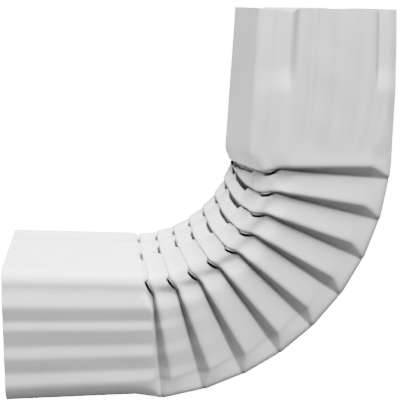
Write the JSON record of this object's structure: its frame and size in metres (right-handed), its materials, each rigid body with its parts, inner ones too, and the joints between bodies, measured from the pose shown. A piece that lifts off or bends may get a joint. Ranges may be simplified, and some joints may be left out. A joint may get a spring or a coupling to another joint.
{
  "type": "downspout elbow",
  "caption": "Square-angle gutter downspout elbow: rectangular sheet-metal tube, pleated through the bend, plain at one end and crimped at the other.",
  "frame": {"origin": "centre of the plain end's opening", "axes": "+X runs into the plain leg from its open end, +Z runs out of the crimped leg, Y is across the wide throat and heel faces"},
  "size_m": [0.2282, 0.108, 0.2311],
  "materials": {
    "white_paint": "satin white baked enamel on aluminium sheet"
  },
  "bodies": {
    "root": {"elbow": "white_paint"}
  },
  "joints": []
}
